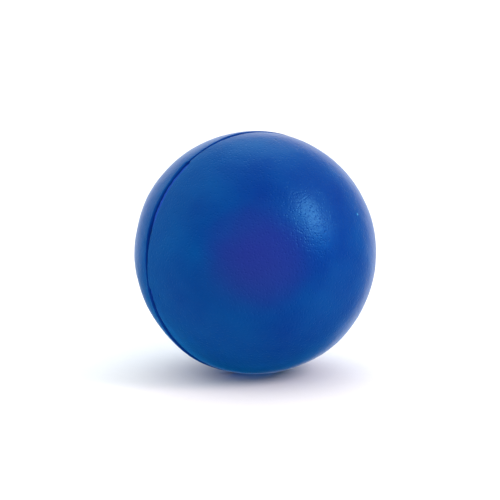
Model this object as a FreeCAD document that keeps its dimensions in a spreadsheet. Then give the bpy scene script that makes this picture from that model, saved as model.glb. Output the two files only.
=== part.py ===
import FreeCAD, Part
import math
import os
import Sketcher

# A squeezable ball of moulded foam. Each half mould is sprayed with a coloured film, the two are closed,
# and foam that rises inside fills them as one piece: a soft open core, a dense skin against the film, and
# a thin web where the two films meet. The web's flash is trimmed off in the bottom of the seam groove.
# Lengths are millimetres. The origin is the middle of the small flat that the ball's weight makes where it
# rests, +Z is up, the mould axis is Y, the films meet on y = 0 and the front half is on the -Y side.

doc = FreeCAD.newDocument("stress_ball")

SIZES = {
    "ball_diameter": 63.5,    # across the ball
    "rest_diameter": 7.8,     # across the flat under the ball
    "coat_thickness": 0.25,   # the coloured film
    "skin_thickness": 1.4,    # the dense foam behind the film
    "lip_radius": 0.55,       # the round of each film's rim, where it turns into the seam groove
    "web_thickness": 0.4,     # between the two rims, along the mould axis
    "web_stand": 0.12,        # how far the trimmed web stands out of the bottom of the groove
}

sheet = doc.addObject("Spreadsheet::Sheet", "Sizes")
for row, (alias, size) in enumerate(SIZES.items(), start=1):
    sheet.set(f"A{row}", alias)
    sheet.set(f"B{row}", str(size))
    sheet.setAlias(f"B{row}", alias)
doc.recompute()

JUST_BELOW = 0.01    # how far under a rest flat the form is looked for, mm
LEAST_LEFT = 0.99    # the share of a form that its small rest flat has to leave

# Sizes that follow from the sheet, as expressions over its cells.
BALL = "Sizes.ball_diameter / 2"
CENTRE_HEIGHT = "sqrt(Sizes.ball_diameter ^ 2 - Sizes.rest_diameter ^ 2) / 2"
COAT = "Sizes.coat_thickness"
FOAM = f"({BALL} - {COAT})"
CORE = f"({FOAM} - Sizes.skin_thickness)"
CORE_FLOOR = f"({COAT} + Sizes.skin_thickness)"
LIP = "Sizes.lip_radius"
HALF_WEB = "Sizes.web_thickness / 2"
GROOVE_FLOOR = f"sqrt(({BALL} - {LIP}) ^ 2 - ({HALF_WEB} + {LIP}) ^ 2)"


def sized(expression):
    """The number that an expression over the sheet gives now."""
    return float(sheet.evalExpression(expression))


def sketch_on(body, role, name, offset="0"):
    """A sketch on one of the body's own origin planes, moved along the plane's normal by offset."""
    plane = next(feature for feature in body.Origin.OriginFeatures if feature.Role == role)
    sketch = body.newObject("Sketcher::SketchObject", name)
    sketch.AttachmentSupport = [(plane, "")]
    sketch.MapMode = "FlatFace"
    sketch.setExpression("AttachmentOffset.Base.z", offset)
    return sketch


def drive(sketch, constraint, name, expression):
    """Adds a named constraint to the sketch and binds it to an expression."""
    index = sketch.addConstraint(constraint)
    sketch.renameConstraint(index, name)
    sketch.setExpression(f"Constraints.{name}", expression)


def turn(body, sketch, name):
    """Turns a sketch a full circle about the mould axis."""
    solid = body.newObject("PartDesign::Revolution", name)
    solid.Profile = sketch
    solid.ReferenceAxis = (sketch, ["V_Axis"])
    solid.Angle = 360
    return solid


def cut_rest_flat(body, floor):
    """Cuts away what lies below the height floor, as the ball's own weight flattens it there."""
    sketch = sketch_on(body, "XY_Plane", f"{body.Name}_flat_outline", floor)
    sketch.addGeometry(Part.Circle(FreeCAD.Vector(0, 0, 0), FreeCAD.Vector(0, 0, 1), sized(BALL)))
    sketch.addConstraint(Sketcher.Constraint("Coincident", 0, 3, -1, 1))
    drive(sketch, Sketcher.Constraint("Radius", 0, sized(BALL)), "reach", BALL)
    flat = body.newObject("PartDesign::Pocket", f"{body.Name}_flat")
    flat.Profile = sketch
    flat.Type = "ThroughAll"
    doc.recompute()
    left = flat.Shape.Volume / flat.BaseFeature.Shape.Volume
    below = flat.Shape.slice(FreeCAD.Vector(0, 0, 1), sized(floor) - JUST_BELOW)
    if below or left < LEAST_LEFT:
        raise RuntimeError(f"{body.Name}: the rest flat leaves {left:.3f} of the form, {len(below)} cuts below it")


def half_form(name, radius, lip, face):
    """A half ball on the -Y side: a spherical dome, a lip arc tangent to it, and a flat face at y = -face."""
    body = doc.addObject("PartDesign::Body", name)
    sketch = sketch_on(body, "XY_Plane", f"{name}_outline", CENTRE_HEIGHT)
    ball, rim, land = sized(radius), sized(lip), sized(face)
    lip_out = math.sqrt((ball - rim) ** 2 - (land + rim) ** 2)
    lip_centre = FreeCAD.Vector(lip_out, -land - rim, 0)
    tangent = math.atan2(lip_centre.y, lip_centre.x)
    middle, normal = FreeCAD.Vector(0, 0, 0), FreeCAD.Vector(0, 0, 1)
    sketch.addGeometry([
        Part.ArcOfCircle(Part.Circle(middle, normal, ball), -math.pi / 2, tangent),
        Part.ArcOfCircle(Part.Circle(lip_centre, normal, rim), tangent, math.pi / 2),
        Part.LineSegment(FreeCAD.Vector(lip_out, -land, 0), FreeCAD.Vector(0, -land, 0)),
        Part.LineSegment(FreeCAD.Vector(0, -land, 0), FreeCAD.Vector(0, -ball, 0)),
    ])
    sketch.addConstraint([
        Sketcher.Constraint("Coincident", 0, 3, -1, 1),
        Sketcher.Constraint("PointOnObject", 0, 1, -2),
        Sketcher.Constraint("Tangent", 0, 2, 1, 1),
        Sketcher.Constraint("Tangent", 1, 2, 2, 1),
        Sketcher.Constraint("Horizontal", 2),
        Sketcher.Constraint("Coincident", 2, 2, 3, 1),
        Sketcher.Constraint("Coincident", 3, 2, 0, 1),
        Sketcher.Constraint("PointOnObject", 3, 1, -2),
    ])
    drive(sketch, Sketcher.Constraint("Radius", 0, ball), "dome_radius", radius)
    drive(sketch, Sketcher.Constraint("Radius", 1, rim), "rim_radius", lip)
    drive(sketch, Sketcher.Constraint("DistanceY", 2, 1, -1, 1, land), "face_offset", face)
    turn(body, sketch, f"{name}_dome")
    return body


def add_throat(body):
    """A disc on the half ball's face that fills the ring between the film's rolled rims, up to the web."""
    sketch = sketch_on(body, "XZ_Plane", f"{body.Name}_throat_outline", HALF_WEB)
    sketch.addGeometry(Part.Circle(FreeCAD.Vector(0, sized(CENTRE_HEIGHT), 0), FreeCAD.Vector(0, 0, 1),
                                   sized(GROOVE_FLOOR)))
    sketch.addConstraint(Sketcher.Constraint("PointOnObject", 0, 3, -2))
    drive(sketch, Sketcher.Constraint("DistanceY", -1, 1, 0, 3, sized(CENTRE_HEIGHT)), "height", CENTRE_HEIGHT)
    drive(sketch, Sketcher.Constraint("Radius", 0, sized(GROOVE_FLOOR)), "throat_radius", GROOVE_FLOOR)
    throat = body.newObject("PartDesign::Pad", f"{body.Name}_throat")
    throat.Profile = sketch
    throat.setExpression("Length", COAT)


def coat_form():
    """The outside of a half ball: what the film and everything in it fills."""
    body = half_form("front_outside", BALL, LIP, HALF_WEB)
    cut_rest_flat(body, "0")
    return body


def foam_form():
    """What the foam fills inside the film of a half ball."""
    body = half_form("front_inside", FOAM, f"({LIP} - {COAT})", f"({HALF_WEB} + {COAT})")
    add_throat(body)
    cut_rest_flat(body, COAT)
    return body


def core():
    """The soft open-cell middle, a whole ball that crosses the parting plane."""
    body = doc.addObject("PartDesign::Body", "foam_core")
    sketch = sketch_on(body, "XY_Plane", "core_outline", CENTRE_HEIGHT)
    reach = sized(CORE)
    middle, normal = FreeCAD.Vector(0, 0, 0), FreeCAD.Vector(0, 0, 1)
    sketch.addGeometry([
        Part.ArcOfCircle(Part.Circle(middle, normal, reach), -math.pi / 2, math.pi / 2),
        Part.LineSegment(FreeCAD.Vector(0, reach, 0), FreeCAD.Vector(0, -reach, 0)),
    ])
    sketch.addConstraint([
        Sketcher.Constraint("Coincident", 0, 3, -1, 1),
        Sketcher.Constraint("PointOnObject", 0, 1, -2),
        Sketcher.Constraint("Coincident", 0, 2, 1, 1),
        Sketcher.Constraint("Coincident", 1, 2, 0, 1),
        Sketcher.Constraint("Vertical", 1),
    ])
    drive(sketch, Sketcher.Constraint("Radius", 0, reach), "core_radius", CORE)
    turn(body, sketch, "core_ball")
    cut_rest_flat(body, CORE_FLOOR)
    return body


def web_form():
    """A disc across the whole ball between the two rims, as thick as the web and as wide as its trimmed edge."""
    body = doc.addObject("PartDesign::Body", "web_disc")
    reach = f"({GROOVE_FLOOR} + Sizes.web_stand)"
    sketch = sketch_on(body, "XZ_Plane", "web_outline")
    sketch.addGeometry(Part.Circle(FreeCAD.Vector(0, sized(CENTRE_HEIGHT), 0), FreeCAD.Vector(0, 0, 1),
                                   sized(reach)))
    sketch.addConstraint(Sketcher.Constraint("PointOnObject", 0, 3, -2))
    drive(sketch, Sketcher.Constraint("DistanceY", -1, 1, 0, 3, sized(CENTRE_HEIGHT)), "height", CENTRE_HEIGHT)
    drive(sketch, Sketcher.Constraint("Radius", 0, sized(reach)), "web_radius", reach)
    disc = body.newObject("PartDesign::Pad", "web")
    disc.Profile = sketch
    disc.Midplane = True
    disc.setExpression("Length", "Sizes.web_thickness")
    cut_rest_flat(body, "0")
    return body


def hollow(label, outside, inside):
    """The piece that is left between two nested forms."""
    piece = doc.addObject("Part::Cut", label)
    piece.Base = outside
    piece.Tool = inside
    return piece


def mirrored(label, source):
    """The rear half's copy of a front piece, on the other side of the parting plane."""
    piece = doc.addObject("Part::Mirroring", label)
    piece.Source = source
    piece.Normal = FreeCAD.Vector(0, 1, 0)
    return piece


outside, inside, foam_core, web = coat_form(), foam_form(), core(), web_form()
front_coat = hollow("front_coat", outside, inside)
front_skin = hollow("front_skin", inside, foam_core)
pieces = [
    front_coat,
    mirrored("rear_coat", front_coat),
    front_skin,
    mirrored("rear_skin", front_skin),
    foam_core,
    hollow("seam_bead", web, foam_core),
]

doc.recompute()
for item in doc.Objects:
    if "Invalid" in item.State or "Error" in item.State:
        raise RuntimeError(f"{item.Label} failed: {item.State}")
for piece in pieces:
    if piece.Shape.isNull() or not piece.Shape.isValid() or len(piece.Shape.Solids) != 1:
        raise RuntimeError(f"{piece.Label} is not one valid solid")

os.makedirs("parts", exist_ok=True)
for piece in pieces:
    piece.Shape.exportStep(os.path.join("parts", f"{piece.Label}.step"))
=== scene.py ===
import math

import bpy
import numpy as np
from mathutils import Matrix, Vector


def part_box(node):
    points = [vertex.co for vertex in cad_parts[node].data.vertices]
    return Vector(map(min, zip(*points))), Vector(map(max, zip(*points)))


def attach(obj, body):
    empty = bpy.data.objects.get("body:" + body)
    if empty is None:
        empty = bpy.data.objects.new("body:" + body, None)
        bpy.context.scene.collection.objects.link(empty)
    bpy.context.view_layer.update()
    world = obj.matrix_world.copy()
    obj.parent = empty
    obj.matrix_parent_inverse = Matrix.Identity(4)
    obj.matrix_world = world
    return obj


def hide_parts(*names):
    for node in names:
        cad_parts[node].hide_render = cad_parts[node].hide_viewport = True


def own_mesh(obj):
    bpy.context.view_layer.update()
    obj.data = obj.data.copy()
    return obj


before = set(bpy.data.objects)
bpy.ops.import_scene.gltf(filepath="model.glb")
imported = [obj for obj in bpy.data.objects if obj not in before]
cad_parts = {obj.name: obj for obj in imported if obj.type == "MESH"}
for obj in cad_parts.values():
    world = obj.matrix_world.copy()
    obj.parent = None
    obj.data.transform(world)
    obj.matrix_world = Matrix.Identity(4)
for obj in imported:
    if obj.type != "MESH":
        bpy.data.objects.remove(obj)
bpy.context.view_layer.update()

# The ball stands alone on a pale sweep. The camera is a long lens near desk level, turned towards the
# front half's side, so that the moulding seam shows as an arc down the ball's left edge.
BALL_RADIUS = -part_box("front_coat")[0].y    # the front film's pole is the furthest point towards -Y
REST_RADIUS = 0.0039                        # of the patch that the ball's weight flattens under it
BALL_CENTRE = Vector((0.0, 0.0, math.sqrt(BALL_RADIUS ** 2 - REST_RADIUS ** 2)))

VIEW_AZIMUTH = math.radians(-29.35)
VIEW_ELEVATION = math.radians(10.04)
VIEW_DISTANCE = 14.92 * BALL_RADIUS
AIM_LEFT = 0.00137                          # the lens looks a little left of the middle and above it
AIM_ABOVE = 0.00067

view_right = Vector((math.cos(VIEW_AZIMUTH), math.sin(VIEW_AZIMUTH), 0.0))
view_back = Vector((math.sin(VIEW_AZIMUTH) * math.cos(VIEW_ELEVATION),
                    -math.cos(VIEW_AZIMUTH) * math.cos(VIEW_ELEVATION),
                    math.sin(VIEW_ELEVATION)))
view_up = view_back.cross(view_right)

camera = bpy.data.objects.new("camera", bpy.data.cameras.new("camera"))
bpy.context.scene.collection.objects.link(camera)
camera.data.lens = 130.0
camera.data.clip_start = 0.01
camera.location = BALL_CENTRE - AIM_LEFT * view_right + AIM_ABOVE * view_up + VIEW_DISTANCE * view_back
camera.rotation_euler = view_back.to_track_quat("Z", "Y").to_euler()
bpy.context.scene.camera = camera


# The core is open-cell polyurethane foam, tinted through. It rises and sets inside the closed mould as
# one piece across both halves, and only its bond to the dense skin all round holds it.
COAT = 0.00025                              # thickness of the coloured film
SKIN = 0.0014                               # thickness of the dense foam behind it
CORE_RADIUS = BALL_RADIUS - COAT - SKIN
CORE_CELL = 0.0009                          # width of the open cells
CORE_ROUGHNESS = 0.00004                    # how deep they pit the core's surface


def waves(points, length, count, seed):
    """Smooth noise of about unit size: the sum of count cosine waves of about that length in random
    directions, divided by the square root of half their number."""
    random = np.random.default_rng(seed)
    way = random.normal(size=(count, 3))
    way /= np.linalg.norm(way, axis=1, keepdims=True)
    turns = 2 * np.pi / (length * random.uniform(0.7, 1.4, count))
    phase = random.uniform(0, 2 * np.pi, count)
    total = np.zeros(points.shape[:-1])
    for k in range(count):
        total += np.cos(points @ (way[k] * turns[k]) + phase[k])
    return total / math.sqrt(count / 2)


def on_the_mould_axis(radius, along, around):
    """Points at a radius from the mould axis Y and a place along it from the ball's middle, turned by
    around from +X towards +Z."""
    across = radius * np.cos(around)
    upward = radius * np.sin(around)
    return np.stack([across, along + 0 * around, upward], -1) + BALL_CENTRE


def closed_mesh(name, rows, ring=False, depths=None):
    """A closed surface from rows of points that each run once round the mould axis. In a ball the
    first and the last row are one point each and become poles, closed by fans. In a ring the last row
    joins the first. The depths say for each point how far it lies in the seam's slot, and the material
    reads them to paint shade into the slot."""
    count, around = rows.shape[:2]
    here = np.arange(around)
    following = (here + 1) % around
    if ring:
        verts = rows.reshape(-1, 3)
        starts = np.arange(count) * around
        pairs = np.stack([starts, np.roll(starts, -1)], 1)
        fans = np.zeros((0, 3), int)
    else:
        verts = np.concatenate([rows[:1, 0], rows[1:-1].reshape(-1, 3), rows[-1:, 0]])
        starts = 1 + np.arange(count - 2) * around
        pairs = np.stack([starts[:-1], starts[1:]], 1)
        last = len(verts) - 1
        fans = np.concatenate([
            np.stack([0 * here, starts[0] + following, starts[0] + here], 1),
            np.stack([0 * here + last, starts[-1] + here, starts[-1] + following], 1),
        ])
    low, high = pairs[:, :1], pairs[:, 1:]
    quads = np.stack([low + here, low + following, high + following, high + here], -1).reshape(-1, 4)
    corner = verts[np.concatenate([quads[:, [0, 1, 2]], quads[:, [0, 2, 3]], fans])] - BALL_CENTRE
    volume = np.sum(corner[:, 0] * np.cross(corner[:, 1], corner[:, 2])) / 6
    if volume < 0:
        quads, fans = quads[:, ::-1], fans[:, ::-1]
    mesh = bpy.data.meshes.new(name)
    mesh.vertices.add(len(verts))
    mesh.vertices.foreach_set("co", verts.astype(np.float32).ravel())
    corners = np.concatenate([quads.ravel(), fans.ravel()]).astype(np.int32)
    sizes = np.concatenate([np.full(len(quads), 4), np.full(len(fans), 3)]).astype(np.int32)
    mesh.loops.add(len(corners))
    mesh.loops.foreach_set("vertex_index", corners)
    mesh.polygons.add(len(sizes))
    firsts = np.concatenate([[0], np.cumsum(sizes)[:-1]]).astype(np.int32)
    mesh.polygons.foreach_set("loop_start", firsts)
    mesh.polygons.foreach_set("loop_total", sizes)
    mesh.update(calc_edges=True)
    if depths is not None:
        values = np.concatenate([depths[:1, 0], depths[1:-1].ravel(), depths[-1:, 0]]).astype(np.float32)
        mesh.attributes.new("slot_depth", "FLOAT", "POINT").data.foreach_set("value", values)
    mesh.validate()
    mesh.shade_smooth()
    piece = bpy.data.objects.new(name, mesh)
    bpy.context.scene.collection.objects.link(piece)
    return piece


def node_material(name):
    """A new node material with its principled shader and a helper that adds a node with its
    settings."""
    material = bpy.data.materials.new(name)
    material.use_nodes = True
    tree = material.node_tree
    shader = tree.nodes["Principled BSDF"]
    place = tree.nodes.new("ShaderNodeTexCoord").outputs["Object"]

    def add(kind, inputs=None, **settings):
        node = tree.nodes.new(kind)
        for key, value in settings.items():
            setattr(node, key, value)
        for key, value in (inputs or {}).items():
            if isinstance(value, bpy.types.NodeSocket):
                tree.links.new(value, node.inputs[key])
            else:
                node.inputs[key].default_value = value
        return node

    return material, tree, shader, place, add


def foam_material(name, light, dark, cell, depth):
    """Matte foam: rounded cells of a size, in two shades of one tint, with the walls between them
    raised. The darker shade in each cell's hollow middle and the lighter on its walls are painted shade."""
    material, tree, shader, place, add = node_material(name)
    cells = add("ShaderNodeTexVoronoi", {"Vector": place, "Scale": 1 / cell}, feature="SMOOTH_F1")
    pores = add("ShaderNodeTexNoise", {"Vector": place, "Scale": 0.4 / cell, "Detail": 4.0})
    walls = cells.outputs["Distance"]
    # Painted shade: each cell darkens towards its hollow middle and lightens towards its raised walls.
    tint = add("ShaderNodeMix", {"Factor": walls, "A": dark, "B": light}, data_type="RGBA")
    tree.links.new(tint.outputs["Result"], shader.inputs["Base Color"])
    height = add("ShaderNodeMath", {0: walls, 1: pores.outputs["Fac"]}, operation="ADD")
    bump = add("ShaderNodeBump", {"Height": height.outputs[0], "Distance": depth, "Strength": 0.8})
    tree.links.new(bump.outputs["Normal"], shader.inputs["Normal"])
    shader.inputs["Roughness"].default_value = 0.95
    shader.inputs["Specular IOR Level"].default_value = 0.2
    return material


def core_rows(around=360, along=180):
    """A ball as rows from the -Y pole to the +Y pole, roughened by its cells and flat where it rests:
    the radius falls short of CORE_RADIUS by the roughness times one plus the noise."""
    tilt = np.linspace(0, np.pi, along)[:, None]
    turn = np.linspace(0, 2 * np.pi, around, endpoint=False)[None]
    rows = on_the_mould_axis(CORE_RADIUS * np.sin(tilt), -CORE_RADIUS * np.cos(tilt), turn)
    outward = (rows - BALL_CENTRE) / CORE_RADIUS
    rows = rows - outward * (CORE_ROUGHNESS * (1 + waves(rows, 0.0012, 24, 5)))[..., None]
    rows[..., 2] = np.maximum(rows[..., 2], COAT + SKIN)
    return rows


foam_core = closed_mesh("soft_core", core_rows())
foam_core.data.materials.append(foam_material(
    "open_cell_foam", (0.16, 0.32, 0.62, 1), (0.05, 0.14, 0.36, 1), cell=CORE_CELL, depth=0.00025))
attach(foam_core, "heart")
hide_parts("foam_core")
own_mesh(foam_core)


# The coloured films are an elastic polyurethane paint, sprayed into each half mould before the foam is
# poured. Each is a thin half shell whose rim rolls in round the mould's edge, so the two make a fine
# groove where they meet. The foam behind bonds to them, and they take the mould's faint pebble grain.
WALL_FOOT = BALL_RADIUS - 0.0010            # the film reaches this deep into the slot
TIGHT_RIM = 0.00018                         # radius of the rolled rim where the seam is tight
TIGHT_GAP = 0.00025                         # half of the gap between the rims there
TORN_RIM = 0.00012                          # what a full tear adds to the rim's radius
TORN_GAP = 0.00065                          # and to half of the gap
STEP = 0.00010                              # how far the rear rim stands proud everywhere
STEP_ABOVE = 0.00012                        # what is added to that near the top
STEP_BELOW = 0.00028                        # and low on the left
SUNK = 0.00003                              # how far the front rim lies below the true ball
STEP_WIDTH = 0.004                          # how far from the seam the two ease back to it
FILM_AROUND = 720
DOME_ROWS = 97
LIP_ROWS = 10
WALL_ROWS = 5
INSIDE_ROWS = 13


def near(turn, place, width):
    """1 at a place round the seam, in degrees from +X towards +Z, falling off over a width to both
    sides as e to the minus square of the distance over the width."""
    away = (np.degrees(turn) - place + 180) % 360 - 180
    return np.exp(-(away / width) ** 2)


def between(turn, start, end, blur=2.5):
    """1 between two places round the seam, in degrees, and 0 outside, with soft ends: the difference
    of two S-curves, one at each place."""
    degrees = (np.degrees(turn) - start + 90) % 360 - 90
    return 1 / (1 + np.exp(-degrees / blur)) - 1 / (1 + np.exp(-(degrees - (end - start)) / blur))


def torn(turn, start, end):
    """0 up to a place round the seam, in degrees, 1 just after it and as far as halfway on, and from
    there falling evenly to 0 at the end."""
    share = ((np.degrees(turn) - start) % 360) / (end - start)
    return np.clip(30 * share, 0, 1) * np.clip(2 - 2 * share, 0, 1)


def gaping(turn):
    """Where the rims have torn apart a little: from 0 for a tight seam to 1 for a gaping one."""
    places = (torn(turn, 127, 184), 0.7 * torn(turn, 191, 250), between(turn, 228, 290),
              0.45 * between(turn, 66, 108), 0.5 * between(turn, 20, 48))
    return np.clip(sum(places), 0, 1)


KINKS = [
    # place round the seam in degrees, metres towards +Y, degrees wide
    (126, 0.00016, 2.5),
    (190, 0.00022, 1.2),
    (194, -0.00020, 3.0),
    (206, 0.00012, 2.0),
    (318, 0.00012, 3.0),
]


def seam(turn):
    """How the seam runs at each place round it: the rims' radius, half the gap between them, and how
    far the gap's middle wanders along the mould axis. Each is a plain value with a little noise; the
    first two grow where the seam gapes, and the kinks are added to the third."""
    ring = np.stack([np.cos(turn), np.sin(turn), 0 * turn], -1)
    wide = gaping(turn)
    rim = TIGHT_RIM + 0.00003 * waves(ring, 0.5, 20, 11) + TORN_RIM * wide
    gap = TIGHT_GAP + 0.00004 * waves(ring, 0.25, 20, 12) + TORN_GAP * wide
    wander = 0.00006 * waves(ring, 1.1, 12, 13)
    for place, aside, width in KINKS:
        wander = wander + aside * near(turn, place, width)
    return rim, np.clip(gap, 0.0001, 0.0010), wander


def by_the_seam(radius):
    """1 at the ball's widest, where the seam runs, and falling off steeply towards the poles and the
    middle: the eighth power of the share of the ball's radius."""
    return np.clip(radius / BALL_RADIUS, 0, 1) ** 8


UNEVEN = [
    # direction from the ball's middle, metres out, degrees wide
    ((0.86, -0.50, -0.10), -0.00007, 35),
    ((0.17, 0.10, 0.98), 0.00004, 15),
    ((-0.51, 0.44, 0.74), 0.00008, 25),
    ((-0.84, 0.51, 0.20), -0.00020, 8),
    ((-0.83, 0.38, -0.42), -0.00014, 20),
    ((-0.29, -0.03, -0.96), 0.00012, 13),
    ((0.54, -0.45, -0.72), 0.00020, 14),
]


def unevenness(places, side):
    """How far the soft surface stands out of the true ball: a few broad high and low places, a slow
    waviness, and the mismatch of the half moulds, which leaves the rear rim proud, most of all above
    and below. Each place and the mismatch fall off as e to the minus square of the distance over the
    width."""
    outward = places - BALL_CENTRE
    outward = outward / np.linalg.norm(outward, axis=-1, keepdims=True)
    total = 0.00002 * waves(places, 0.011, 24, 21) + 0.000008 * waves(places, 0.004, 32, 22)
    for direction, height, width in UNEVEN:
        middle = np.array(Vector(direction).normalized())
        angle = np.degrees(np.arccos(np.clip(outward @ middle, -1, 1)))
        total += height * np.exp(-(angle / width) ** 2)
    around = np.arctan2(outward[..., 2], outward[..., 0])
    rear_step = STEP + STEP_ABOVE * near(around, 100, 12) + STEP_BELOW * between(around, 215, 272, blur=4)
    step = rear_step if side > 0 else -SUNK
    return total + step * np.exp(-(places[..., 1] / STEP_WIDTH) ** 2)


def film_rows(side):
    """Rows of the half shell on one side of the seam, from the pole over the dome, round the rolled
    rim, down the slot's wall, across the film's edge and back along the inside. The rim is an arc
    tangent to the dome that ends square to the seam. With the rows come their depths in the slot, from
    0 on the dome to 1 down the wall, and a little less where the seam gapes and light gets in: the
    material paints the slot's shade by them."""
    turn = np.linspace(0, 2 * np.pi, FILM_AROUND, endpoint=False)[None]
    rim, gap, wander = seam(turn)
    rim_along = gap + rim
    inner_rim = np.maximum(rim - COAT, 0.00002)
    rim_out = np.sqrt((BALL_RADIUS - rim) ** 2 - rim_along ** 2)
    meets = np.arctan2(rim_out, rim_along)

    def dome(radius, shares):
        tilt = shares[:, None] * meets
        return radius * np.sin(tilt), radius * np.cos(tilt)

    def rolled(radius, shares):
        tilt = meets + shares[:, None] * (np.pi - meets)
        return rim_out + radius * np.sin(tilt), rim_along + radius * np.cos(tilt)

    down_the_wall = np.linspace(0, 1, WALL_ROWS)[:, None] * (rim_out - WALL_FOOT)
    outside = dome(BALL_RADIUS, np.linspace(0, 1, DOME_ROWS) ** 0.9)    # a little closer at the rim
    lip = rolled(rim, np.linspace(0, 1, LIP_ROWS + 1)[1:])
    wall = rim_out - down_the_wall[1:], gap + 0 * down_the_wall[1:]
    back_of_wall = rim_out - down_the_wall[::-1], rim_along - inner_rim + 0 * down_the_wall[::-1]
    inner_lip = rolled(inner_rim, np.linspace(1, 0, WALL_ROWS)[1:])
    inside = dome(BALL_RADIUS - COAT, np.linspace(1, 0, INSIDE_ROWS)[1:])
    stretches = (outside, lip, wall, back_of_wall, inner_lip, inside)
    radius = np.concatenate([stretch[0] for stretch in stretches])
    along = np.concatenate([stretch[1] for stretch in stretches])
    rows = on_the_mould_axis(radius, side * along + wander * by_the_seam(radius), turn)
    outward = (rows - BALL_CENTRE) / BALL_RADIUS
    rows = rows + outward * unevenness(rows, side)[..., None]
    lowest = np.zeros(len(radius))
    lowest[DOME_ROWS + LIP_ROWS + WALL_ROWS - 1:] = COAT
    rows[..., 2] = np.maximum(rows[..., 2], lowest[:, None])
    depths = np.interp(np.arange(len(radius)), [DOME_ROWS, DOME_ROWS + LIP_ROWS], [0, 1])
    # The depths set how much painted shade the slot gets: less where the seam gapes.
    return rows, depths[:, None] * (1 - 0.3 * gaping(turn))


MARKS = [
    # direction from the ball's middle, radius, height: a pimple and two pinholes
    ((0.503, -0.772, 0.388), 0.00055, 0.00012),
    ((0.039, -0.269, 0.962), 0.00040, -0.00014),
    ((-0.959, -0.145, -0.243), 0.00040, -0.00014),
]
INDIGO = (0.0, 0.010, 0.21, 1)
AZURE = (0.0, 0.072, 0.30, 1)
VIOLET = (0.0145, 0.024, 0.238, 1)
# painted shade for the depths of the seam's slot
SLOT_SHADE = (0.006, 0.045, 0.31, 1)
# painted shade inside the pinholes
PINHOLE_SHADE = (0.0, 0.014, 0.12, 1)
# painted highlight on the pimple's tip
PIMPLE_HIGHLIGHT = (0.04, 0.30, 0.62, 1)
CAMERA_SIDE_SPOT = Vector((-0.49, -0.86, 0.12))   # direction of the violet spot, a painted reflection of the camera side: it faces the camera
SPOT_MIDDLE = 0.003                         # the spot is full violet this far round its own middle
SPOT_EDGE = 0.017                           # and has faded out here
AZURE_SIDE = Vector((0.14, 0.93, -0.35))    # direction of the azure side; the drift to indigo on the camera's side is painted reflection
BLOTCHES = 70.0                             # blotches to a metre
GRAIN = 1900.0                              # and fine waves of the grain
PEBBLES = 1300.0                            # and its pebbles
PEBBLE_HEIGHT = 0.000042


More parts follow.
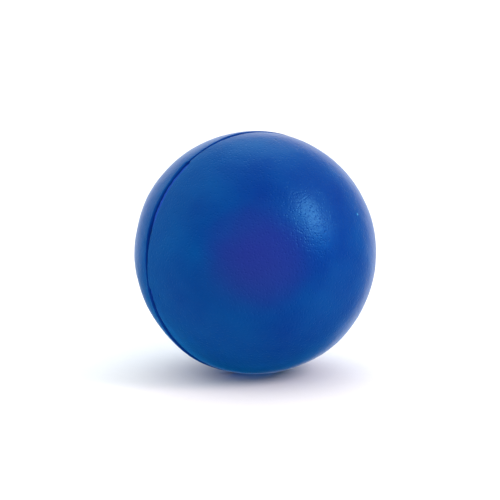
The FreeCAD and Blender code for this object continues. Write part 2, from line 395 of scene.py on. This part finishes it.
def film_material():
    """Satin elastic film over a fine pebble grain: soft blotches of indigo blue and azure, and painted
    light: an indigo blue on the camera's side that drifts towards azure on the other, and a violet spot
    facing the camera, both a painted reflection of the camera side; a painted highlight on a pimple;
    and painted shade in two pinholes and down the seam's slot."""
    material, tree, shader, place, add = node_material("blue_film")
    blotches = add("ShaderNodeTexNoise", {"Vector": place, "Scale": BLOTCHES, "Detail": 2.0})
    # The violet spot is a painted reflection of the camera side, on the part of the ball that faces the
    # camera.
    camera_side_spot = BALL_CENTRE + BALL_RADIUS * CAMERA_SIDE_SPOT.normalized()
    from_spot = add("ShaderNodeVectorMath", {0: place, 1: camera_side_spot}, operation="DISTANCE")
    ragged = add("ShaderNodeMapRange", {"Value": blotches.outputs["Fac"], "To Min": -0.003,
                                        "To Max": 0.003})
    reach = add("ShaderNodeMath", {0: from_spot.outputs["Value"], 1: ragged.outputs["Result"]},
                operation="ADD")
    camera_side_share = add("ShaderNodeMapRange", {"Value": reach.outputs[0], "From Min": SPOT_MIDDLE,
                                         "From Max": SPOT_EDGE, "To Min": 1.0, "To Max": 0.0},
                  interpolation_type="SMOOTHSTEP")
    # The drift from indigo on the camera's side to azure away from it and to the lower left is a painted
    # reflection of the dim camera side; the blotches are the film's own random tone.
    azure_side = AZURE_SIDE.normalized() / BALL_RADIUS
    side = add("ShaderNodeVectorMath", {0: place, 1: azure_side}, operation="DOT_PRODUCT")
    middle = BALL_CENTRE.dot(azure_side)
    across = add("ShaderNodeMapRange", {"Value": side.outputs["Value"], "From Min": middle - 1.0,
                                        "From Max": middle + 0.3, "To Min": -0.12, "To Max": 0.45},
                 clamp=False)
    mixed = add("ShaderNodeMath", {0: blotches.outputs["Fac"], 1: across.outputs["Result"]},
                operation="ADD", use_clamp=True)
    # The film's colour: its random blotches, with the painted reflection's drift from indigo to azure.
    thin = add("ShaderNodeMix", {"Factor": mixed.outputs[0], "A": INDIGO, "B": AZURE}, data_type="RGBA")
    colour = add("ShaderNodeMix", {"Factor": camera_side_share.outputs["Result"], "A": thin.outputs["Result"],
                                   "B": VIOLET}, data_type="RGBA")
    # Painted shade in the seam's slot: the film's colour gives way to a fixed shade the deeper it lies.
    depth = add("ShaderNodeAttribute", attribute_name="slot_depth")
    slot_shaded = add("ShaderNodeMix", {"Factor": depth.outputs["Fac"], "A": colour.outputs["Result"],
                                    "B": SLOT_SHADE}, data_type="RGBA")
    marked = None
    for direction, radius, height in MARKS:
        middle = BALL_CENTRE + BALL_RADIUS * Vector(direction).normalized()
        away = add("ShaderNodeVectorMath", {0: place, 1: middle}, operation="DISTANCE")
        mark = add("ShaderNodeMapRange", {"Value": away.outputs["Value"], "From Max": radius,
                                          "To Min": height, "To Max": 0.0},
                   interpolation_type="SMOOTHSTEP")
        total = add("ShaderNodeMath", {0: mark.outputs["Result"], 1: marked or 0.0}, operation="ADD")
        marked = total.outputs[0]
    marks = add("ShaderNodeBump", {"Height": marked, "Distance": 1.0, "Strength": 1.0})
    # Painted shade: the pinholes are coloured dark inside.
    pinned = add("ShaderNodeMapRange", {"Value": marked, "From Max": -0.0001})
    pinhole_shaded = add("ShaderNodeMix", {"Factor": pinned.outputs["Result"], "A": slot_shaded.outputs["Result"],
                                      "B": PINHOLE_SHADE}, data_type="RGBA")
    # Painted highlight: the pimple is coloured pale on its tip.
    pimpled = add("ShaderNodeMapRange", {"Value": marked, "From Max": 0.0001})
    pimple_highlighted = add("ShaderNodeMix", {"Factor": pimpled.outputs["Result"],
                                     "A": pinhole_shaded.outputs["Result"], "B": PIMPLE_HIGHLIGHT}, data_type="RGBA")
    tree.links.new(pimple_highlighted.outputs["Result"], shader.inputs["Base Color"])
    grain = add("ShaderNodeTexNoise", {"Vector": place, "Scale": GRAIN, "Detail": 1.0})
    pits = add("ShaderNodeTexVoronoi", {"Vector": place, "Scale": PEBBLES})
    rise = add("ShaderNodeMapRange", {"Value": pits.outputs["Distance"], "From Min": 0.05,
                                      "From Max": 0.45}, interpolation_type="SMOOTHSTEP")
    height = add("ShaderNodeMath", {0: grain.outputs["Fac"], 1: rise.outputs["Result"]}, operation="ADD")
    bump = add("ShaderNodeBump", {"Height": height.outputs[0], "Distance": PEBBLE_HEIGHT,
                                  "Strength": 1.0, "Normal": marks.outputs["Normal"]})
    tree.links.new(bump.outputs["Normal"], shader.inputs["Normal"])
    gloss = add("ShaderNodeMapRange", {"Value": grain.outputs["Fac"], "To Min": 0.26, "To Max": 0.38})
    tree.links.new(gloss.outputs["Result"], shader.inputs["Roughness"])
    shader.inputs["IOR"].default_value = 1.5
    shader.inputs["Specular Tint"].default_value = (0.09, 0.60, 1.0, 1)
    shader.inputs["Sheen Weight"].default_value = 0.3
    shader.inputs["Sheen Roughness"].default_value = 0.4
    shader.inputs["Sheen Tint"].default_value = (0.02, 0.5, 1.0, 1)
    return material


blue_film = film_material()
for name, side in (("front", -1), ("rear", 1)):
    rows, depths = film_rows(side)
    film = closed_mesh(f"{name}_film", rows, depths=depths)
    film.data.materials.append(blue_film)
    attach(film, f"{name}_half")
    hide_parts(f"{name}_coat")
    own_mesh(film)


# Behind each film the foam sets against the cooler mould wall as a dense closed skin, and where the
# two films meet it fills the gap as a thin web, whose flash is trimmed off in the bottom of the
# groove.
WEB_STANDS = 0.0001                         # how far the web stands above the foot of the films' walls
WEB_TORN = 0.00055                          # and how much further where the seam is torn open


def skin_rows(side, around=360):
    """Rows of a half shell of dense foam: its outside just inside the film, its face towards the seam
    flat, and its inside on the core."""
    turn = np.linspace(0, 2 * np.pi, around, endpoint=False)[None]
    rim, gap, wander = seam(turn)
    outer = BALL_RADIUS - COAT
    tilt = np.linspace(0, 1, 40)[:, None] * np.arccos((gap + rim) / outer)
    land = WALL_FOOT + 0 * rim
    land_along = gap + np.minimum(rim, COAT)
    shares = np.linspace(1, 0, 20)[:, None]
    inner_tilt = shares * np.arccos(gap / CORE_RADIUS)
    radius = np.concatenate([outer * np.sin(tilt), land, CORE_RADIUS * np.sin(inner_tilt)])
    along = np.concatenate([outer * np.cos(tilt), land_along, CORE_RADIUS * np.cos(inner_tilt)])
    rows = on_the_mould_axis(radius, side * along + wander * by_the_seam(radius), turn)
    lowest = np.where(np.arange(len(radius)) <= len(tilt), COAT, COAT + SKIN)
    rows[..., 2] = np.maximum(rows[..., 2], lowest[:, None])
    return rows


def web_rows(around=1440):
    """Rows of the web's section, which follows the seam: out along its front side, over its rounded,
    ragged edge and in along its rear side."""
    turn = np.linspace(0, 2 * np.pi, around, endpoint=False)[None]
    rim, gap, wander = seam(turn)
    ring = np.stack([np.cos(turn), np.sin(turn), 0 * turn], -1)
    ragged = 0.00003 + 0.00004 * waves(ring, 0.05, 40, 31) + 0.00003 * waves(ring, 0.4, 20, 32)
    edge = WALL_FOOT + WEB_STANDS + np.clip(ragged, -0.0001, 0.0002) + WEB_TORN * gaping(turn)
    tilt = np.linspace(-np.pi / 2, np.pi / 2, 9)[:, None]
    round_edge = edge - gap + gap * np.cos(tilt)
    inner = CORE_RADIUS + 0 * turn
    radius = np.concatenate([inner, round_edge, inner])
    along = np.concatenate([-gap, gap * np.sin(tilt), gap]) + wander
    rows = on_the_mould_axis(radius, along, turn)
    rows[..., 2] = np.maximum(rows[..., 2], 0)
    return rows


dense_foam = foam_material("dense_foam", (0.012, 0.085, 0.50, 1), (0.007, 0.055, 0.38, 1), cell=0.0002,
                           depth=0.00004)
for name, side in (("front", -1), ("rear", 1)):
    dense_skin = closed_mesh(f"{name}_dense_skin", skin_rows(side))
    dense_skin.data.materials.append(dense_foam)
    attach(dense_skin, f"{name}_half")
    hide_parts(f"{name}_skin")
    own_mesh(dense_skin)

web = closed_mesh("seam_web", web_rows(), ring=True)
web.data.materials.append(dense_foam)
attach(web, "heart")
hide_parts("seam_bead")
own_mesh(web)


# The studio: a pale matt sweep, a tall soft box high on the right with a small cooler one beside it,
# one more behind the top, and four wide fills. The walls are seen only in the film's gloss: bright
# behind the ball, which gives it pale edges, and dim elsewhere. Past the sweep's end the camera sees
# plain white.
def floor_material():
    """Pale matt paint with a faint tooth."""
    material, tree, shader, place, add = node_material("pale_sweep")
    tooth = add("ShaderNodeTexNoise", {"Vector": place, "Scale": 400.0, "Detail": 3.0})
    tint = add("ShaderNodeMix", {"Factor": tooth.outputs["Fac"], "A": (0.88, 0.88, 0.88, 1),
                                 "B": (0.91, 0.91, 0.91, 1)}, data_type="RGBA")
    tree.links.new(tint.outputs["Result"], shader.inputs["Base Color"])
    shader.inputs["Roughness"].default_value = 0.9
    shader.inputs["Specular IOR Level"].default_value = 0.1
    return material


FLOOR_HALF = 6.0
FLOOR_CORNERS = [(-FLOOR_HALF, -FLOOR_HALF, 0), (FLOOR_HALF, -FLOOR_HALF, 0),
                 (FLOOR_HALF, FLOOR_HALF, 0), (-FLOOR_HALF, FLOOR_HALF, 0)]
floor_mesh = bpy.data.meshes.new("floor")
floor_mesh.from_pydata(FLOOR_CORNERS, [], [(0, 1, 2, 3)])
floor_mesh.transform(Matrix.Translation((0, 0, -0.00005)))      # just clear of the ball's flat
floor_mesh.materials.append(floor_material())
floor = bpy.data.objects.new("floor", floor_mesh)
bpy.context.scene.collection.objects.link(floor)
floor.visible_glossy = False    # its own image stays out of the film's gloss
floor.visible_shadow = False    # and it lets the low fill through


def light_from(name, kind, right, up, back):
    """A light of a kind that faces the ball from a direction given in the camera's own right, up and
    back at rest, and that direction."""
    holder = bpy.data.objects.new(name, bpy.data.lights.new(name, kind))
    way = (right * view_right + up * view_up + back * view_back).normalized()
    holder.rotation_euler = way.to_track_quat("Z", "Y").to_euler()
    bpy.context.scene.collection.objects.link(holder)
    return holder, way


def soft_box(name, right, up, back, distance, width, height, watts, colour):
    """A lit rectangle, which the gloss mirrors."""
    holder, way = light_from(name, "AREA", right, up, back)
    holder.location = BALL_CENTRE + distance * way
    holder.data.shape = "RECTANGLE"
    holder.data.size = width
    holder.data.size_y = height
    holder.data.energy = watts
    holder.data.color = colour


def wide_light(name, right, up, back, strength, spread):
    """Parallel light softened over a spread of degrees. It stands for light bounced round the room, so
    it shades the ball without a mirror image in its gloss."""
    holder, way = light_from(name, "SUN", right, up, back)
    holder.data.energy = strength
    holder.data.angle = math.radians(spread)
    holder.visible_glossy = False


soft_box("key_light", 0.735, 0.485, 0.43, distance=0.7, width=0.16, height=0.32, watts=2.4,
         colour=(1.0, 0.8, 0.8))
soft_box("side_light", 0.89, 0.22, 0.37, distance=0.7, width=0.14, height=0.16, watts=0.36,
         colour=(0.15, 0.65, 1.0))
soft_box("top_light", 0.05, 0.93, -0.40, distance=0.6, width=0.35, height=0.35, watts=0.38,
         colour=(0.4, 0.9, 1.0))
wide_light("overhead_fill", -0.1, 0.95, -0.25, strength=2.9, spread=150)
wide_light("front_fill", -0.3, 0.1, 0.9, strength=1.4, spread=165)
wide_light("low_fill", -0.1, -1.0, -0.1, strength=2.8, spread=150)
wide_light("back_fill", 0.1, 0.0, -1.0, strength=2.0, spread=165)

WALLS = [
    # place on the way from straight behind the ball, 0, to the camera's side, 1, and the light from there
    (0.04, (1.5, 1.25, 1.2, 1)),
    (0.10, (0.42, 0.40, 0.42, 1)),
    (0.16, (0.06, 0.13, 0.14, 1)),
    (0.45, (0.04, 0.13, 0.14, 1)),
    (0.58, (0.09, 0.34, 0.38, 1)),
    (0.84, (0.09, 0.34, 0.38, 1)),
    (0.93, (0.04, 0.08, 0.09, 1)),
    (1.0, (0.02, 0.05, 0.05, 1)),
]
ROOM_FRONT = view_back - 0.05 * view_up - 0.05 * view_right
ROOM_TOP = Vector((0.0, 0.0, 1.0)) + 0.42 * view_right      # the dark below the desk leans to the left
BELOW_DARK = -0.42
BELOW_LIT = -0.31

world = bpy.data.worlds.new("studio")
bpy.context.scene.world = world
world.cycles_visibility.diffuse = False     # the fills above already stand for its soft light
world.use_nodes = True
nodes, links = world.node_tree.nodes, world.node_tree.links
way = nodes.new("ShaderNodeTexCoord").outputs["Generated"]


def along_way(direction):
    """The share of a direction in the way a ray leaves the scene, from -1 to 1."""
    dot = nodes.new("ShaderNodeVectorMath")
    dot.operation = "DOT_PRODUCT"
    dot.inputs[1].default_value = direction.normalized()
    links.new(way, dot.inputs[0])
    return dot.outputs["Value"]


share = nodes.new("ShaderNodeMapRange")
share.inputs["From Min"].default_value = -1.0
links.new(along_way(ROOM_FRONT), share.inputs["Value"])
walls = nodes.new("ShaderNodeValToRGB")
links.new(share.outputs["Result"], walls.inputs["Fac"])
ramp = walls.color_ramp
ramp.interpolation = "EASE"
ramp.elements[0].position, ramp.elements[0].color = WALLS[0]
ramp.elements[1].position, ramp.elements[1].color = WALLS[-1]
for position, colour in WALLS[1:-1]:
    ramp.elements.new(position).color = colour
backdrop = nodes.new("ShaderNodeLightPath").outputs["Is Camera Ray"]
seen = nodes.new("ShaderNodeMix")
seen.data_type = "RGBA"
seen.inputs["B"].default_value = (1.0, 1.0, 1.0, 1)
links.new(backdrop, seen.inputs["Factor"])
links.new(walls.outputs["Color"], seen.inputs["A"])
links.new(seen.outputs["Result"], nodes["Background"].inputs["Color"])
under = nodes.new("ShaderNodeMapRange")
under.interpolation_type = "SMOOTHSTEP"
under.inputs["From Min"].default_value = BELOW_DARK
under.inputs["From Max"].default_value = BELOW_LIT
links.new(along_way(ROOM_TOP), under.inputs["Value"])
strength = nodes.new("ShaderNodeMath")
strength.operation = "MAXIMUM"
links.new(under.outputs["Result"], strength.inputs[0])
links.new(backdrop, strength.inputs[1])
links.new(strength.outputs[0], nodes["Background"].inputs["Strength"])
bpy.context.scene.view_settings.view_transform = "Standard"
